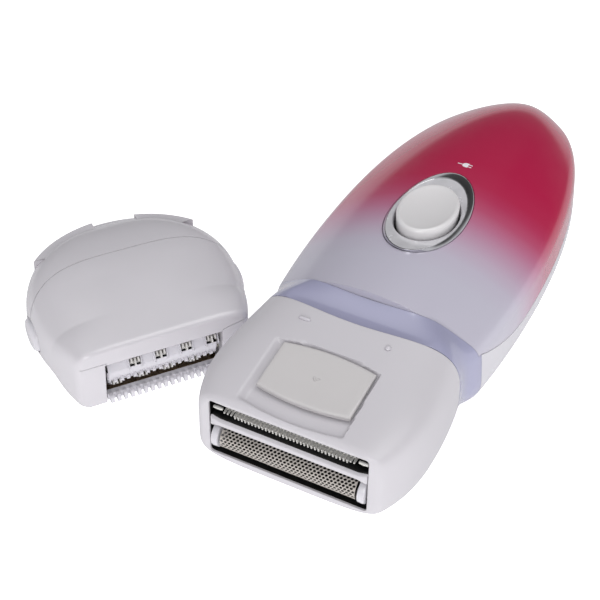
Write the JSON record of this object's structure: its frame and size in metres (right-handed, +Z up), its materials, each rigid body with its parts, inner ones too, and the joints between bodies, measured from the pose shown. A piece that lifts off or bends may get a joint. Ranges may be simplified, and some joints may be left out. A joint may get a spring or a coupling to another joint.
{
  "type": "epilator",
  "caption": "Cordless egg-shaped epilator handset with a foil shaver head fitted and a tweezer-drum epilation head lying beside it.",
  "frame": {"origin": "centre of the flat rest area on the back cover", "axes": "+Z up out of the front cover, +Y along the handset towards its tail, +X to the right when looking along +Y"},
  "size_m": [0.1151, 0.1527, 0.0363],
  "materials": {
    "cover_gradient": "gloss, raspberry at the tail fading to pale lavender grey at the neck",
    "lavender_gloss": "soft gloss",
    "white_gloss": "soft gloss",
    "satin_grey": "satin",
    "warm_grey": "satin",
    "chrome_trim": "polished lip, satin flank",
    "steel_parts": "fine brushed",
    "foil_steel": "perforated bright foil",
    "cell_can": "plain printed sleeve",
    "brass_parts": "satin",
    "dark_plastic": "moulded",
    "dark_rubber": "moulded",
    "circuit_board": "solder mask",
    "natural_plastic": "moulded",
    "lamp_lens": "clear lens"
  },
  "bodies": {
    "handset": {"front_cover": "cover_gradient", "back_cover": "white_gloss", "neck_collar": "lavender_gloss", "switch_bezel": "chrome_trim", "button_seal": "dark_rubber", "chassis": "dark_plastic", "main_board": "circuit_board", "tact_switch": "dark_plastic", "charge_led": "lamp_lens", "battery_cell": "cell_can", "contact_front": "brass_parts", "contact_rear": "brass_parts", "motor_can": "steel_parts", "output_bush": "brass_parts", "charge_socket": "dark_plastic", "socket_pin": "brass_parts", "board_screw_1": "steel_parts", "board_screw_2": "steel_parts", "board_screw_3": "steel_parts", "board_screw_4": "steel_parts"},
    "button": {"power_button": "white_gloss"},
    "pinion": {"motor_pinion": "brass_parts"},
    "output": {"output_gear": "natural_plastic"},
    "shaver_head": {"shaver_housing": "satin_grey", "shaver_base": "white_gloss", "neck_seal": "dark_rubber", "shaver_crossbar": "satin_grey"},
    "foil_unit": {"shaver_foil": "foil_steel", "foil_cap_right": "white_gloss", "foil_cap_left": "white_gloss"},
    "oscillating_arm": {"oscillator": "natural_plastic"},
    "cutter_unit": {"inner_cutter": "steel_parts"},
    "trimmer_unit": {"trimmer_slider": "warm_grey", "trimmer_carrier": "dark_plastic", "trimmer_comb": "steel_parts"},
    "trimmer_cutter": {"trimmer_blade": "steel_parts"},
    "epilation_head": {"epi_frame": "white_gloss", "epi_base": "white_gloss", "skin_comb": "white_gloss", "drum_bracket_right": "natural_plastic", "drum_bracket_left": "natural_plastic"},
    "drum": {"tweezer_drum": "white_gloss", "tweezer_row_upper": "steel_parts", "tweezer_row_lower": "steel_parts", "drum_gear": "natural_plastic"},
    "pinch_plates": {"pinch_row_upper": "steel_parts", "pinch_row_lower": "steel_parts"},
    "idler": {"idler_gear": "natural_plastic"},
    "release_right": {"release_button_right": "white_gloss"},
    "release_left": {"release_button_left": "white_gloss"}
  },
  "joints": [
    {"name": "power_button_press", "type": "slide", "parent": "handset", "child": "button", "axis": [0, 0, -1], "range_m": [0, 0.001]},
    {"name": "output_spin", "type": "hinge", "parent": "handset", "child": "output", "pos_m": [0, -0.016, 0.022], "axis": [0, 1, 0], "continuous": true},
    {"name": "pinion_spin", "type": "hinge", "parent": "handset", "child": "pinion", "pos_m": [0, -0.016, 0.0145], "axis": [0, 1, 0], "continuous": true},
    {"name": "shaver_head_release", "type": "slide", "parent": "handset", "child": "shaver_head", "axis": [0, -1, 0], "range_m": [0, 0.015]},
    {"name": "foil_float", "type": "slide", "parent": "shaver_head", "child": "foil_unit", "axis": [0, 1, 0], "range_m": [0, 0.0008]},
    {"name": "cutter_oscillation", "type": "slide", "parent": "shaver_head", "child": "oscillating_arm", "axis": [1, 0, 0], "range_m": [-0.0008, 0.0008]},
    {"name": "cutter_float", "type": "slide", "parent": "oscillating_arm", "child": "cutter_unit", "axis": [0, 1, 0], "range_m": [0, 0.0008]},
    {"name": "trimmer_slide", "type": "slide", "parent": "shaver_head", "child": "trimmer_unit", "axis": [0, -0.9903, -0.1386], "range_m": [0, 0.0035]},
    {"name": "trimmer_blade_oscillation", "type": "slide", "parent": "trimmer_unit", "child": "trimmer_cutter", "axis": [1, 0, 0], "range_m": [-0.0008, 0.0008]},
    {"name": "epilation_head_placement", "type": "slide", "parent": "handset", "child": "epilation_head", "axis": [-1, 0, 0], "range_m": [0, 0.03]},
    {"name": "drum_spin", "type": "hinge", "parent": "epilation_head", "child": "drum", "pos_m": [-0.04885, -0.04297, 0.0093], "axis": [0.6184, 0.7859, 0], "continuous": true},
    {"name": "tweezer_pinch", "type": "slide", "parent": "drum", "child": "pinch_plates", "axis": [0.6184, 0.7859, 0], "range_m": [0, 0.0004]},
    {"name": "idler_spin", "type": "hinge", "parent": "epilation_head", "child": "idler", "pos_m": [-0.05325, -0.03951, 0.0093], "axis": [0.6184, 0.7859, 0], "continuous": true},
    {"name": "release_right_press", "type": "slide", "parent": "epilation_head", "child": "release_right", "axis": [-0.6184, -0.7859, 0], "range_m": [0, 0.001]},
    {"name": "release_left_press", "type": "slide", "parent": "epilation_head", "child": "release_left", "axis": [0.6184, 0.7859, 0], "range_m": [0, 0.001]}
  ],
  "couplings": [
    {"joint": "pinion_spin", "follows": "output_spin", "ratio": -2},
    {"joint": "cutter_float", "follows": "foil_float", "ratio": 1},
    {"joint": "trimmer_blade_oscillation", "follows": "cutter_oscillation", "ratio": 1},
    {"joint": "idler_spin", "follows": "drum_spin", "ratio": -1}
  ]
}
